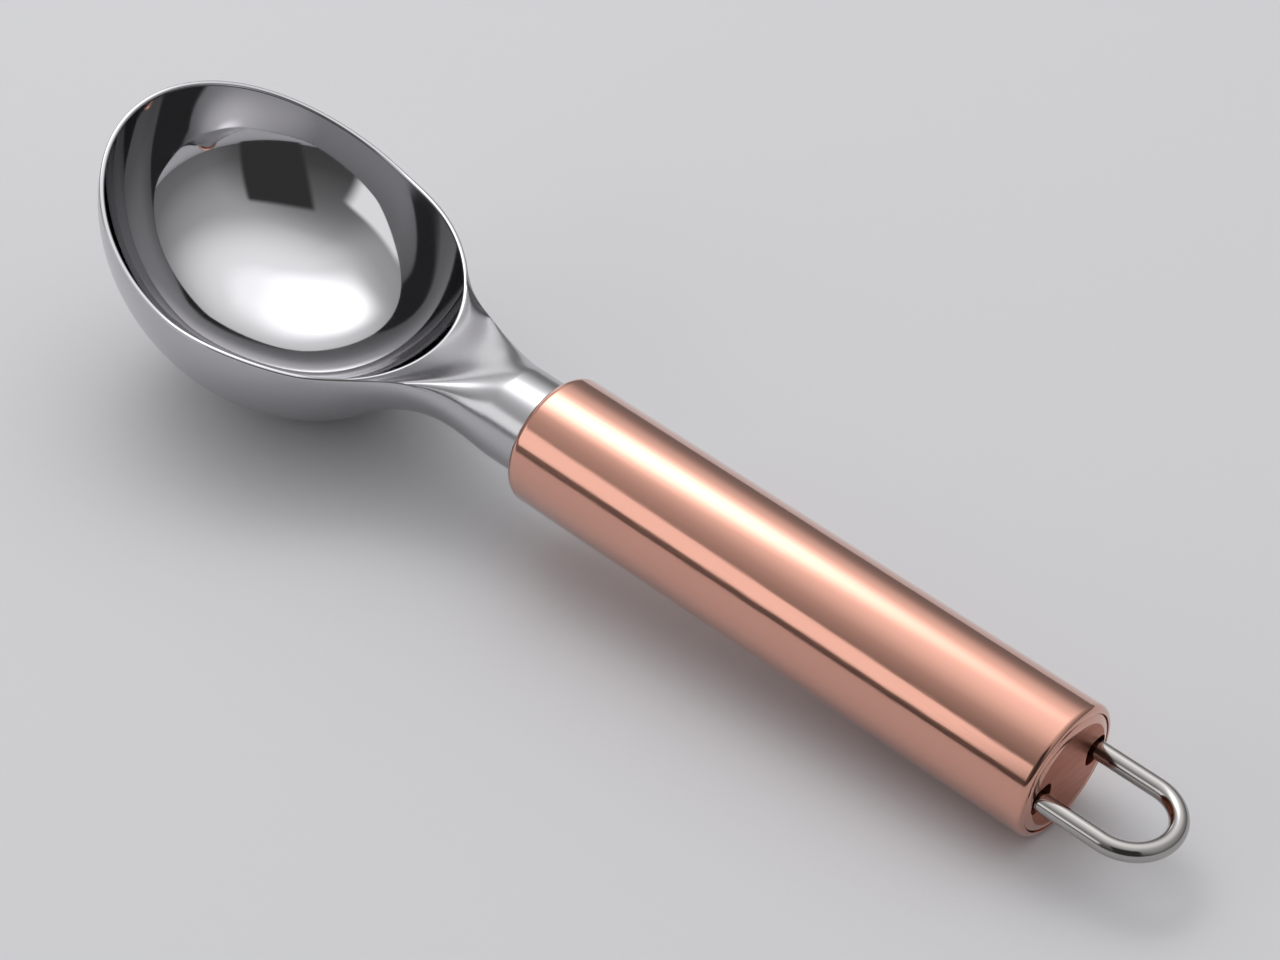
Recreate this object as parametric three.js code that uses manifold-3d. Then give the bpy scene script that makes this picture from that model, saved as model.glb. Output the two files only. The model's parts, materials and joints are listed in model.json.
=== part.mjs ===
// Ice cream scoop: a plated cast bowl on a round shank, a copper-plated tube handle and a wire hanging loop.
// Millimetres, +Z up. Every piece is built along the handle's axis, with x = 0 at the handle's front face,
// +x towards the loop and -x towards the bowl. The finished scoop is then tilted about Y until it rests on
// its bowl and on the handle's rear edge, and centred over the origin on z = 0.

import * as THREE from 'three';
import { LoftGeometry } from 'three/addons/geometries/LoftGeometry.js';
import { mergeVertices } from 'three/addons/utils/BufferGeometryUtils.js';
import Module from 'manifold-3d';

const wasm = await Module();
wasm.setup();

// Bowl: an oval dish, its rim rising towards the tip and dipping along its sides
const BOWL_LENGTH = 67.7;
const BOWL_WIDTH = 55;
const BOWL_DEPTH = 30.3;
const BOWL_TILT = THREE.MathUtils.degToRad(16);
const RIM_SAG = 3.9;
const RIM_WALL = 0.8;

// Hollow of the bowl: floor thickness, distance of its lowest point from the middle towards the tip,
// power of its profile (2 for an ellipse) and the part of the profile's quarter turn that is used
const FLOOR_WALL = 9.75;
const FLOOR_SHIFT = 5;
const HOLLOW_POWER = 2.3;
const HOLLOW_PART = 0.95;

// Neck, shank and tang, cast in one with the bowl
const NECK_REACH = 27.6;
const NECK_RIM_HEIGHT = -0.7;
const NECK_SWELL = 0.5;
const NECK_CREST = 0.45;
const RIM_STEP = 0.15;
const SIDE_JOIN = THREE.MathUtils.degToRad(51);
const UNDER_JOIN = THREE.MathUtils.degToRad(16);
const SHANK_DIAMETER = 16.1;
const SHANK_REACH = 9;
const SHANK_INSIDE = 11.3;
const TANG_DIAMETER = 9;
const TANG_LENGTH = 52;
const TANG_CHAMFER = 1;

// Handle tube
const HANDLE_DIAMETER = 22;
const HANDLE_LENGTH = 100;
const TUBE_WALL = 1.1;
const FRONT_WALL = 1.5;
const FRONT_ROUND = 1.6;
const REAR_ROUND = 1;

// End cap: a plug in the tube's rear end, its flat face a little proud and its border rounded
const CAP_RISE = 0.3;
const CAP_FLOOR = 1.5;
const CAP_SHOULDER = 1.4;
const CAP_EDGE = 0.45;
const CAP_TURN = THREE.MathUtils.degToRad(70);
const POCKET_ROOM = 1.2;

// Hanging loop: bent wire, swinging about its turned-in feet
const WIRE_DIAMETER = 3;
const LOOP_INSET = 3;
const LOOP_STRAIGHT = 11;
const FOOT_BEND = 2;
const FOOT_GAP = 4;
const LOOP_SWING = THREE.MathUtils.degToRad(10);

// Pieces inside the handle
const SEAL_THICKNESS = 1.3;
const BUSH_LENGTH = 7;
const BUSH_WALL = 1.25;
const CARRIER_LENGTH = 12;
const PIN_DIAMETER = 4;
const PIN_POSITION = 30;
const PIN_INSET = 0.8;
const SCREW_DIAMETER = 2.2;
const SCREW_LENGTH = 16;
const SCREW_HEAD_DIAMETER = 4.2;
const SCREW_HEAD_HEIGHT = 2;
const SCREW_SLOT = 0.8;
const SCREW_EDGE = 0.3;
const SCREW_ANGLE = THREE.MathUtils.degToRad(56);

// Clearance between pieces that fit together, how far a cutter runs past what it cuts, and the distance
// within which the corners of one surface are one point
const FIT = 0.3;
const OVERCUT = 2;
const WELD = 1e-4;

// Facets
const ROUND_STEPS = 48;
const INNER_STEPS = 24;
const BOWL_RINGS = 24;
const NECK_STEPS = 14;
const CORNER_STEPS = 4;
const WIRE_SIDES = 12;
const BEND_STEPS = 5;
const BOW_STEPS = 16;

// Sizes worked out from the driving dimensions
const shankRadius = SHANK_DIAMETER / 2;
const tangRadius = TANG_DIAMETER / 2;
const tangEnd = SHANK_INSIDE + TANG_LENGTH;
const handleRadius = HANDLE_DIAMETER / 2;
const boreRadius = handleRadius - TUBE_WALL;
const fillRadius = boreRadius - FIT;
const spigotRadius = fillRadius - BUSH_WALL - FIT;
const wireRadius = WIRE_DIAMETER / 2;
const legSide = boreRadius - LOOP_INSET;
const screwCircle = fillRadius - SCREW_EDGE - FIT - SCREW_HEAD_DIAMETER / 2;
const capFace = HANDLE_LENGTH + CAP_RISE;
const capBack = capFace - CAP_FLOOR;
const carrierRear = capBack - FIT;
const carrierFront = carrierRear - CARRIER_LENGTH;
const pivotX = carrierRear - wireRadius;
const sealFront = FRONT_WALL + FIT;
const bushFront = sealFront + SEAL_THICKNESS + FIT;
const coreFront = Math.max(bushFront + BUSH_LENGTH, SHANK_INSIDE) + FIT;
const coreRear = carrierFront - FIT;

// Rim frame in the side view: u runs along the rim's chord from the tip to the neck, w is square to it
const halfLength = BOWL_LENGTH / 2;
const halfWidth = BOWL_WIDTH / 2;
const rimCentre = new THREE.Vector2(-NECK_REACH, NECK_RIM_HEIGHT)
  .add(new THREE.Vector2(-halfLength * Math.cos(BOWL_TILT), halfLength * Math.sin(BOWL_TILT)));
const alongRim = new THREE.Vector2(Math.cos(BOWL_TILT), -Math.sin(BOWL_TILT));
const acrossRim = new THREE.Vector2(Math.sin(BOWL_TILT), Math.cos(BOWL_TILT));
const bowlCentre = rimCentre.clone().addScaledVector(acrossRim, -RIM_SAG / 2);

// Height of the rim over its chord: a parabola that meets the chord at the tip and at the neck
function rimHeight(u) {
  return RIM_SAG * ((u / halfLength) ** 2 - 1);
}

// Point of the rim's side view as (x, z)
function rimPoint(u) {
  return rimCentre.clone().addScaledVector(alongRim, u).addScaledVector(acrossRim, rimHeight(u));
}

// Cubic from value a to value b with the given end slopes, t from 0 to 1
function hermite(a, slopeA, b, slopeB, t) {
  const rise = t * t * (3 - 2 * t);
  return a + (b - a) * rise + slopeA * t * (1 - t) ** 2 - slopeB * t * t * (1 - t);
}

function material(color, roughness, metalness) {
  return new THREE.MeshStandardMaterial({ color, roughness, metalness });
}

// Closed geometry to solid, and back to a geometry
function solid(geometry) {
  const bare = new THREE.BufferGeometry();
  bare.setAttribute('position', geometry.attributes.position);
  bare.setIndex(geometry.index);
  const welded = mergeVertices(bare, WELD);
  const vertProperties = new Float32Array(welded.attributes.position.array);
  const triVerts = new Uint32Array(welded.index.array);
  return new wasm.Manifold(new wasm.Mesh({ numProp: 3, vertProperties, triVerts }));
}

function surface(body) {
  const mesh = body.getMesh();
  const geometry = new THREE.BufferGeometry();
  geometry.setAttribute('position', new THREE.BufferAttribute(mesh.vertProperties, 3));
  geometry.setIndex(new THREE.BufferAttribute(mesh.triVerts, 1));
  geometry.computeVertexNormals();
  return geometry;
}

// Solid of revolution about the x axis from (radius, x) points
function turned(points, steps = ROUND_STEPS) {
  const geometry = new THREE.LatheGeometry(points.map(([r, x]) => new THREE.Vector2(r, x)), steps);
  return geometry.rotateZ(-Math.PI / 2);
}

function rod(radius, start, end, steps = INNER_STEPS) {
  return turned([[0, start], [radius, start], [radius, end], [0, end]], steps);
}

function sleeve(inner, outer, start, end) {
  return turned([[inner, start], [outer, start], [outer, end], [inner, end], [inner, start]], INNER_STEPS);
}

// Points (radius, x) of an arc about (r, x), from one angle to another, where 0 points outwards
function arc(r, x, radius, from, to, steps) {
  return Array.from({ length: steps + 1 }, (_, i) => {
    const angle = from + (to - from) * i / steps;
    return [r + radius * Math.cos(angle), x + radius * Math.sin(angle)];
  });
}

// Box over a range of x, y and z
function block(x0, x1, y0, y1, z0, z1) {
  const geometry = new THREE.BoxGeometry(x1 - x0, y1 - y0, z1 - z0);
  return geometry.translate((x0 + x1) / 2, (y0 + y1) / 2, (z0 + z1) / 2);
}

// Profile in the side view (x, z), carried straight across from one y to another
function crosswise(shape, fromY, toY, curveSegments) {
  const geometry = new THREE.ExtrudeGeometry(shape, { depth: toY - fromY, bevelEnabled: false, curveSegments });
  return geometry.rotateX(Math.PI / 2).translate(0, toY, 0);
}

// Outside of the bowl: a whole ellipsoid
function bowlEllipsoid() {
  const geometry = new THREE.SphereGeometry(1, ROUND_STEPS, BOWL_RINGS).rotateX(Math.PI / 2);
  geometry.scale(halfLength, halfWidth, BOWL_DEPTH);
  return geometry.rotateY(BOWL_TILT).translate(bowlCentre.x, 0, bowlCentre.y);
}

// Ring of the hollow, at the given share of the way from its lowest point to the rim's inner edge
// and raised by lift
function hollowRing(share, lift) {
  const lowest = BOWL_DEPTH - FLOOR_WALL + RIM_SAG / 2;
  const profile = (s) => 1 - (1 - (HOLLOW_PART * s) ** HOLLOW_POWER) ** (1 / HOLLOW_POWER);
  const rise = profile(share) / profile(1);
  return Array.from({ length: ROUND_STEPS }, (_, i) => {
    const angle = 2 * Math.PI * i / ROUND_STEPS;
    const edge = (halfLength - RIM_WALL) * Math.cos(angle);
    const u = edge * share - FLOOR_SHIFT * (1 - share);
    const w = rimHeight(edge) * rise - lowest * (1 - rise) + lift;
    return new THREE.Vector3(u, (halfWidth - RIM_WALL) * Math.sin(angle) * share, w);
  });
}

// Hollow of the bowl, open upwards past the rim
function hollow() {
  const shares = Array.from({ length: BOWL_RINGS }, (_, i) => Math.sin(Math.PI / 2 * (i + 1) / BOWL_RINGS));
  const rings = [...shares.map((share) => hollowRing(share, 0)), hollowRing(1, OVERCUT)];
  const geometry = new LoftGeometry(rings, { capStart: true, capEnd: true });
  return geometry.rotateY(BOWL_TILT).translate(rimCentre.x, 0, rimCentre.y);
}

// Everything above the rim: the rim's parabola, carried across the bowl
function aboveRim() {
  const reach = halfLength + OVERCUT;
  const end = rimHeight(reach);
  const shape = new THREE.Shape();
  shape.moveTo(-reach, end);
  shape.quadraticCurveTo(0, 2 * rimHeight(0) - end, reach, end);
  shape.lineTo(reach, BOWL_DEPTH + OVERCUT);
  shape.lineTo(-reach, BOWL_DEPTH + OVERCUT);
  const geometry = crosswise(shape, -halfWidth - OVERCUT, halfWidth + OVERCUT, BOWL_RINGS);
  return geometry.rotateY(BOWL_TILT).translate(rimCentre.x, 0, rimCentre.y);
}

// Section of the neck: width either side of the edge point, height above it and depth below it, leaning by lean
function neckSection(edge, width, height, depth, lean) {
  return Array.from({ length: ROUND_STEPS }, (_, i) => {
    const angle = 2 * Math.PI * i / ROUND_STEPS;
    const rise = Math.sin(angle);
    const offset = rise > 0 ? height * rise : depth * rise;
    const x = edge.x + offset * Math.sin(lean);
    return new THREE.Vector3(x, -width * Math.cos(angle), edge.y + offset * Math.cos(lean));
  });
}

// Growth of the neck from the shank's radius until it runs tangent into an ellipse of the given half axis,
// which it meets at the given angle off the rim's chord
function flare(halfAxis, join, rootU, u) {
  const joinU = halfLength * Math.cos(join);
  if (u < joinU) return halfAxis * Math.sqrt(1 - (u / halfLength) ** 2);
  const span = joinU - rootU;
  const slope = -halfAxis * span / halfLength / Math.tan(join);
  return hermite(shankRadius, 0, halfAxis * Math.sin(join), slope, (u - rootU) / span);
}

// Shank and neck: a round bar whose sides and underside flare into the bowl, while its top swells a little
// and then falls to the rim's inner edge. Behind the tube's front wall the bar takes the bush's bore.
function shankAndNeck() {
  const rootU = halfLength + (NECK_REACH - SHANK_REACH) / Math.cos(BOWL_TILT);
  const span = halfLength * Math.cos(SIDE_JOIN) - rootU;
  const rimAt = (halfLength - RIM_WALL - rootU) / span;
  const crestAt = NECK_CREST * rimAt;
  const round = (x, radius) => neckSection(new THREE.Vector2(x, 0), radius, radius, radius, 0);
  const sections = [round(SHANK_INSIDE, spigotRadius), round(sealFront, spigotRadius)];
  sections.push(round(FRONT_WALL, shankRadius));
  for (let i = 0; i <= NECK_STEPS; i++) {
    const t = i / NECK_STEPS;
    const u = rootU + span * t;
    const edge = rimPoint(u);
    edge.y *= THREE.MathUtils.smoothstep(t, 0, rimAt);
    const fall = THREE.MathUtils.smoothstep(t, crestAt, rimAt);
    const crest = shankRadius + NECK_SWELL * THREE.MathUtils.smoothstep(t, 0, crestAt);
    const height = crest * (1 - fall) - RIM_STEP * fall;
    const width = flare(halfWidth, SIDE_JOIN, rootU, u);
    const depth = flare(BOWL_DEPTH, UNDER_JOIN, rootU, u);
    sections.push(neckSection(edge, width, height, depth, BOWL_TILT * t));
  }
  return new LoftGeometry(sections, { capStart: true, capEnd: true });
}

function tang() {
  return turned([
    [0, SHANK_INSIDE - OVERCUT],
    [tangRadius, SHANK_INSIDE - OVERCUT],
    [tangRadius, tangEnd - TANG_CHAMFER],
    [tangRadius - TANG_CHAMFER, tangEnd],
    [0, tangEnd],
  ], INNER_STEPS);
}

// Hole across the handle for the tang's cross pin
function pinHole() {
  const reach = handleRadius + OVERCUT;
  const hole = rod(PIN_DIAMETER / 2 + FIT, -reach, reach);
  return hole.rotateZ(Math.PI / 2).translate(coreFront + PIN_POSITION, 0, 0);
}

function scoopHead() {
  return surface(
    solid(bowlEllipsoid())
      .subtract(solid(aboveRim()))
      .add(solid(shankAndNeck()))
      .add(solid(tang()))
      .subtract(solid(hollow()))
      .subtract(solid(pinHole())),
  );
}

function handleTube() {
  const hole = shankRadius + FIT;
  return turned([
    [hole, 0],
    ...arc(handleRadius - FRONT_ROUND, FRONT_ROUND, FRONT_ROUND, -Math.PI / 2, 0, CORNER_STEPS),
    ...arc(handleRadius - REAR_ROUND, HANDLE_LENGTH - REAR_ROUND, REAR_ROUND, 0, Math.PI / 2, CORNER_STEPS),
    [boreRadius, HANDLE_LENGTH],
    [boreRadius, FRONT_WALL],
    [hole, FRONT_WALL],
    [hole, 0],
  ]);
}

function shankSeal() {
  const middle = (spigotRadius + boreRadius) / 2;
  const section = Math.min(SEAL_THICKNESS, boreRadius - spigotRadius - 2 * FIT) / 2;
  return turned(arc(middle, sealFront + SEAL_THICKNESS / 2, section, 0, 2 * Math.PI, WIRE_SIDES), INNER_STEPS);
}

function frontBush() {
  return sleeve(spigotRadius + FIT, fillRadius, bushFront, bushFront + BUSH_LENGTH);
}

// Wedge in which the wire swings about the pivot: a round bottom with sides leaning out by the swing
function swingSlot(fromY, toY) {
  const radius = wireRadius + FIT;
  const mouth = capFace + OVERCUT;
  const half = radius / Math.cos(LOOP_SWING) + (mouth - pivotX) * Math.tan(LOOP_SWING);
  const shape = new THREE.Shape();
  shape.absarc(pivotX, 0, radius, Math.PI / 2 + LOOP_SWING, 3 * Math.PI / 2 - LOOP_SWING, false);
  shape.lineTo(mouth, -half);
  shape.lineTo(mouth, half);
  return crosswise(shape, fromY, toY, WIRE_SIDES);
}

// Plug with a flat face and a border of part of an ellipse's quarter, and a pocket for each leg of the loop,
// with more room on the side of the axis
function endCap() {
  const start = HANDLE_LENGTH - CAP_EDGE;
  const border = Array.from({ length: CORNER_STEPS + 1 }, (_, i) => {
    const turn = CAP_TURN * i / CORNER_STEPS;
    const inward = (1 - Math.cos(turn)) / (1 - Math.cos(CAP_TURN));
    const rise = Math.sin(turn) / Math.sin(CAP_TURN);
    return [fillRadius - CAP_SHOULDER * inward, start + (capFace - start) * rise];
  });
  const plug = turned([[0, capBack], [fillRadius, capBack], ...border, [0, capFace]]);
  const outer = legSide + wireRadius + FIT;
  const inner = legSide - wireRadius - FIT - POCKET_ROOM;
  return surface(
    solid(plug)
      .subtract(solid(swingSlot(inner, outer)))
      .subtract(solid(swingSlot(-outer, -inner))),
  );
}

// Centre line of the wire from one foot to the other, as points with their directions
function loopPath() {
  const path = [];
  const along = (x, y, angle) => path.push({ x, y, angle });
  along(pivotX, FOOT_GAP / 2, Math.PI / 2);
  for (let i = 0; i <= BEND_STEPS; i++) {
    const turn = Math.PI / 2 * i / BEND_STEPS;
    const x = pivotX + FOOT_BEND * (1 - Math.cos(turn));
    along(x, legSide - FOOT_BEND * (1 - Math.sin(turn)), Math.PI / 2 - turn);
  }
  const bowX = HANDLE_LENGTH + LOOP_STRAIGHT;
  for (let i = 0; i <= BOW_STEPS; i++) {
    const turn = Math.PI * i / BOW_STEPS;
    along(bowX + legSide * Math.sin(turn), legSide * Math.cos(turn), -turn);
  }
  for (let i = 0; i <= BEND_STEPS; i++) {
    const turn = Math.PI / 2 * i / BEND_STEPS;
    const x = pivotX + FOOT_BEND * (1 - Math.sin(turn));
    along(x, -legSide + FOOT_BEND * (1 - Math.cos(turn)), -Math.PI - turn);
  }
  along(pivotX, -FOOT_GAP / 2, -3 * Math.PI / 2);
  return path;
}

function hangingLoop() {
  const sections = loopPath().map(({ x, y, angle }) => Array.from({ length: WIRE_SIDES }, (_, i) => {
    const turn = 2 * Math.PI * (i + 0.5) / WIRE_SIDES;
    const side = wireRadius * Math.cos(turn);
    const rise = wireRadius * Math.sin(turn);
    return new THREE.Vector3(x - side * Math.sin(angle), y + side * Math.cos(angle), rise);
  }));
  return new LoftGeometry(sections, { capStart: true, capEnd: true });
}

// Place of a carrier screw's axis, on the left at -1 or the right at +1
function screwSpot(side) {
  return new THREE.Vector3(0, Math.cos(SCREW_ANGLE), Math.sin(SCREW_ANGLE)).multiplyScalar(side * screwCircle);
}

function screwHole(side) {
  const spot = screwSpot(side);
  const head = carrierRear - SCREW_HEAD_HEIGHT - 2 * FIT;
  const hole = turned([
    [0, head - SCREW_LENGTH - FIT],
    [SCREW_DIAMETER / 2 + FIT, head - SCREW_LENGTH - FIT],
    [SCREW_DIAMETER / 2 + FIT, head],
    [SCREW_HEAD_DIAMETER / 2 + FIT, head],
    [SCREW_HEAD_DIAMETER / 2 + FIT, carrierRear + OVERCUT],
    [0, carrierRear + OVERCUT],
  ], INNER_STEPS);
  return hole.translate(spot.x, spot.y, spot.z);
}

function carrierScrew(side) {
  const spot = screwSpot(side);
  const top = carrierRear - FIT;
  const head = top - SCREW_HEAD_HEIGHT;
  const body = turned([
    [0, head - SCREW_LENGTH],
    [SCREW_DIAMETER / 2, head - SCREW_LENGTH],
    [SCREW_DIAMETER / 2, head],
    [SCREW_HEAD_DIAMETER / 2, head],
    [SCREW_HEAD_DIAMETER / 2, top],
    [0, top],
  ], INNER_STEPS);
  const half = SCREW_HEAD_DIAMETER;
  const slot = block(top - SCREW_HEAD_HEIGHT / 2, top + OVERCUT, -half, half, -SCREW_SLOT / 2, SCREW_SLOT / 2);
  return surface(solid(body).subtract(solid(slot))).translate(spot.x, spot.y, spot.z);
}

function loopCarrier() {
  const reach = legSide + wireRadius + FIT;
  return surface(
    solid(rod(fillRadius, carrierFront, carrierRear))
      .subtract(solid(swingSlot(-reach, reach)))
      .subtract(solid(screwHole(-1)))
      .subtract(solid(screwHole(1))),
  );
}

// One half of the core, on the left at -1 or the right at +1, bored for the tang
function coreHalf(side) {
  const reach = handleRadius + OVERCUT;
  const near = side > 0 ? -reach : -FIT / 2;
  const far = side > 0 ? FIT / 2 : reach;
  return surface(
    solid(rod(fillRadius, coreFront, coreRear))
      .subtract(solid(rod(tangRadius + FIT, coreFront - OVERCUT, tangEnd + FIT)))
      .subtract(solid(pinHole()))
      .subtract(solid(screwHole(side)))
      .subtract(solid(block(coreFront - OVERCUT, coreRear + OVERCUT, near, far, -reach, reach))),
  );
}

function tangPin() {
  const reach = fillRadius - PIN_INSET;
  const pin = rod(PIN_DIAMETER / 2, -reach, reach);
  return pin.rotateZ(Math.PI / 2).translate(coreFront + PIN_POSITION, 0, 0);
}

// Tilt at which the bowl's underside and the handle's rear edge stand on the same level
function restingTilt() {
  const bowlLow = (tilt) => {
    const down = new THREE.Vector2(-Math.sin(tilt), Math.cos(tilt));
    const drop = Math.hypot(halfLength * alongRim.dot(down), BOWL_DEPTH * acrossRim.dot(down));
    return bowlCentre.dot(down) - drop;
  };
  const edge = new THREE.Vector2(HANDLE_LENGTH - REAR_ROUND, REAR_ROUND - handleRadius);
  const handleLow = (tilt) => edge.dot(new THREE.Vector2(-Math.sin(tilt), Math.cos(tilt))) - REAR_ROUND;
  let level = -Math.PI / 4;
  let steep = Math.PI / 4;
  for (let i = 0; i < 50; i++) {
    const middle = (level + steep) / 2;
    if (bowlLow(middle) < handleLow(middle)) level = middle;
    else steep = middle;
  }
  return steep;
}

const plated = material(0xd4d4d8, 0.06, 1);
const copper = material(0xc68b74, 0.2, 1);
const wire = material(0xc9c6c3, 0.12, 1);
const steel = material(0x9a9a9c, 0.3, 1);
const rubber = material(0x1d1d1f, 0.8, 0);
const nylon = material(0xd9d4c8, 0.6, 0);
const filler = material(0x4a4a4d, 0.7, 0);

const pieces = [
  ['scoop_head', scoopHead(), plated],
  ['handle_tube', handleTube(), copper],
  ['end_cap', endCap(), copper],
  ['hanging_loop', hangingLoop(), wire],
  ['shank_seal', shankSeal(), rubber],
  ['front_bush', frontBush(), nylon],
  ['core_left', coreHalf(-1), filler],
  ['core_right', coreHalf(1), filler],
  ['tang_pin', tangPin(), steel],
  ['loop_carrier', loopCarrier(), nylon],
  ['carrier_screw_left', carrierScrew(-1), steel],
  ['carrier_screw_right', carrierScrew(1), steel],
];

const scoop = new THREE.Group();
for (const [name, geometry, finish] of pieces) {
  const mesh = new THREE.Mesh(geometry, finish.clone());
  mesh.name = name;
  scoop.add(mesh);
}
scoop.rotation.y = restingTilt();
scoop.updateMatrixWorld(true);
const box = new THREE.Box3().setFromObject(scoop, true);
scoop.position.set(-(box.min.x + box.max.x) / 2, -(box.min.y + box.max.y) / 2, -box.min.z);

const part = new THREE.Group();
part.add(scoop);

export default part;
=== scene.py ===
"""Ice cream scoop: a mirror-plated cast bowl on a round shank, a copper-plated tube handle and a wire loop.

Metres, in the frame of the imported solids. The casting, the tube, the end cap and the loop are worked out
again as fine surfaces along the handle's axis: x = 0 at the handle's front face, +x towards the loop, z up.
The pieces hidden inside the handle keep their solids.
"""

import json
import math

import bmesh
import bpy
import numpy as np
from mathutils import Matrix, Vector


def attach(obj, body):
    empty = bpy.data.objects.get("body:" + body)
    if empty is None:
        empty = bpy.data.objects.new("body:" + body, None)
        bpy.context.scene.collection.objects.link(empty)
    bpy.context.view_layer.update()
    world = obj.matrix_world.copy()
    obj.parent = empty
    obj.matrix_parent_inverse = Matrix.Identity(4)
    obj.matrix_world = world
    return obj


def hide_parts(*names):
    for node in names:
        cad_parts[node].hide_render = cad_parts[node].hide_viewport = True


bl_info = {
    "name": "Ice cream scoop",
    "version": (1, 0, 0),
    "blender": (4, 5, 0),
    "location": "3D View > Sidebar > Scoop",
    "description": "Builds a plated ice cream scoop with a copper handle around its solids",
    "category": "Add Mesh",
}

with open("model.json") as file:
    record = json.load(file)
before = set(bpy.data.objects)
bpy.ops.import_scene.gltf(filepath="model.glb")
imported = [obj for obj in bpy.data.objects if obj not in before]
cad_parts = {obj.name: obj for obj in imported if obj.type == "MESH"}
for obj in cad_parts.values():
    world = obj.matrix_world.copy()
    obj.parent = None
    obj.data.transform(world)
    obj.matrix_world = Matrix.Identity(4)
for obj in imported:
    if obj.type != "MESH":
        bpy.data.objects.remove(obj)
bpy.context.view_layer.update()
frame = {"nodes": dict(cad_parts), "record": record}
END_FACE = next(mount for mount in frame["record"]["mounts"] if mount["name"] == "end_face")

MM = 0.001

# Distances under which points are merged and slivers of faces are dropped
MERGE = 1e-6
SLIVER = MERGE / 10

# Edges of faces that meet at more than this stay crisp
SMOOTH_ANGLE = math.radians(32)

# Part of an ellipse's quarter in the cap's border, and power of its pockets' outline, 2 for an ellipse
BORDER_TURN = math.radians(70)
POCKET_POWER = 3

# Steps along the bowl's chord over which slopes of the rim and of the neck's sides are measured
RIM_STEP = 1e-6
SIDE_STEP = 1e-5

# Rounds in which the rim's latitude settles, and turns among which the neck's join is looked up
RIM_ROUNDS = 12
JOIN_STEPS = 20000

# Point that the camera looks at, and width of its sensor, in millimetres
CAMERA_TARGET = (5.65, 0, 20.45)
SENSOR_WIDTH = 36

# Material numbers of the casting and of the end cap
OUTSIDE, INSIDE = 0, 1
FACE, SHOULDER = 0, 1

# Grid steps
RIM_COLUMNS = 200
RIDGE_COLUMNS = 96
SECTION_COLUMNS = 64
EDGE_ROWS = 9
BOWL_ROWS = 64
NECK_ROWS = 72
ROUND_COLUMNS = 192
CORNER_ROWS = 10
WIRE_COLUMNS = 40
BEND_ROWS = 16
BOW_ROWS = 72


def linear(code):
    """Linear red, green and blue of an sRGB hex colour."""
    shares = [int(code[i:i + 2], 16) / 255 for i in (0, 2, 4)]
    return tuple(s / 12.92 if s <= 0.04045 else ((s + 0.055) / 1.055) ** 2.4 for s in shares)


def length(name, description, millimetres):
    """Length property with its default in millimetres."""
    return bpy.props.FloatProperty(
        name=name, description=description, default=millimetres * MM,
        unit="LENGTH", subtype="DISTANCE", precision=5,
    )


def angle(name, description, degrees):
    """Angle property with its default in degrees."""
    return bpy.props.FloatProperty(
        name=name, description=description, default=math.radians(degrees), unit="ROTATION", subtype="ANGLE"
    )


def share(name, description, value):
    """Plain number property."""
    return bpy.props.FloatProperty(name=name, description=description, default=value)


def colour(name, description, code):
    """Colour property with its default as an sRGB hex value."""
    return bpy.props.FloatVectorProperty(
        name=name, description=description, default=linear(code), subtype="COLOR", size=3, min=0, max=1
    )


class ScoopHeadSizes(bpy.types.PropertyGroup):
    """Sizes of the cast bowl, neck, shank and tang."""

    bowl_length: length("Bowl length", "Rim from tip to neck", 67.3)
    bowl_width: length("Bowl width", "Rim from side to side", 55)
    bowl_depth: length("Bowl depth", "Half height of the bowl's outer ellipsoid", 30.3)
    bowl_tilt: angle("Bowl tilt", "Rise of the rim's chord over the handle's axis", 16)
    rim_sag: length("Rim sag", "Dip of the rim's sides under its chord", 3.9)
    rim_lift: length("Rim lift", "Extra height of the rim's sides halfway to the neck", 1.5)
    rim_wall: length("Rim wall", "Width of the rim", 0.9)
    rim_round: length("Rim round", "Height of the rim's rounded edge", 0.4)
    rim_flatness: share("Rim flatness", "Power of the rim's profile, 2 for a half ellipse", 2.6)
    floor_wall: length("Floor wall", "Thickness of the bowl's floor", 11)
    floor_shift: length("Floor shift", "How far the lowest point inside lies towards the neck", -5)
    fullness: share("Fullness", "Power of the inner profile, 2 for an ellipse", 2.6)
    wall_share: share("Wall share", "Part of the inner profile's quarter turn that is used", 0.915)
    neck_reach: length("Neck reach", "Handle's front face to the bowl's rim", 27.6)
    neck_rim_height: length("Neck rim height", "Rim at the neck over the handle's axis", -0.7)
    neck_fall: share("Neck fall", "Power of the fall of the neck's top from the shank to the rim", 1.3)
    neck_shoulders: share("Neck shoulders", "Power of the neck's section at the rim, 2 for an ellipse", 2.1)
    edge_rise: length("Edge rise", "Height of the neck's side edges over the rim halfway to the shank", 3.4)
    edge_power: share("Edge power", "Power of the rise towards the neck's side edges", 2)
    side_start: length("Side start", "Handle's front face to where the neck's sides begin to flare", 11)
    side_join: angle("Side join", "Angle off the chord where the neck's sides run into the bowl", 45)
    under_join: angle("Under join", "Angle off the chord where the neck's underside runs into the bowl", 30)
    shank_diameter: length("Shank diameter", "Round bar in front of the handle", 16.1)
    shank_reach: length("Shank reach", "Straight bar in front of the handle", 9)
    shank_inside: length("Shank inside", "Straight bar inside the handle", 11.3)
    tang_diameter: length("Tang diameter", "Bar inside the handle's core", 9)
    tang_length: length("Tang length", "Length of the tang", 52)
    tang_chamfer: length("Tang chamfer", "Bevel at the tang's end", 1)


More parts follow.
